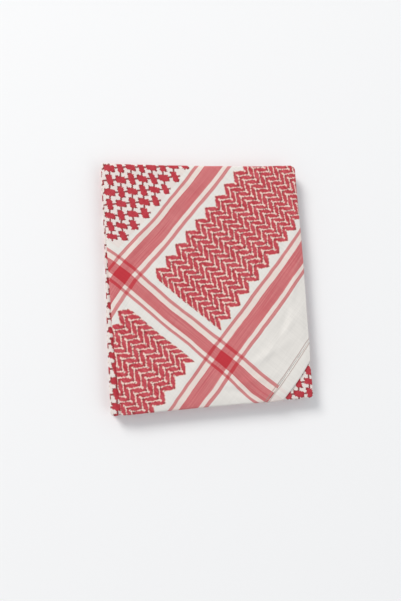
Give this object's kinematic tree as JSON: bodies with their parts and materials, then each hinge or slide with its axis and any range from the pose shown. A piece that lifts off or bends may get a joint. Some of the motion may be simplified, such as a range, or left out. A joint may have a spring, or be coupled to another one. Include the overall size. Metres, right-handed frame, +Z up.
{
  "type": "folded keffiyeh headscarf",
  "caption": "Square cotton headscarf woven with bands, a herringbone border and a net-like field, folded flat into a layered rectangular packet with a turned hem across one corner.",
  "frame": {"origin": "on the surface the packet lies on, under the middle of its outline", "axes": "+Z up, away from the surface; +Y along the packet's long sides, away from the viewer; +X to the right as the face is seen from above"},
  "size_m": [0.2324, 0.2846, 0.0207],
  "materials": {
    "patterned_cotton": "matt woven cotton, red yarn on an off-white ground",
    "hem_cotton": "matt off-white woven cotton, turned over and sewn down"
  },
  "bodies": {
    "root": {"face_layer": "patterned_cotton", "hem": "hem_cotton", "under_layer": "patterned_cotton", "folded_layers": "patterned_cotton", "back_layer": "patterned_cotton"}
  },
  "joints": []
}
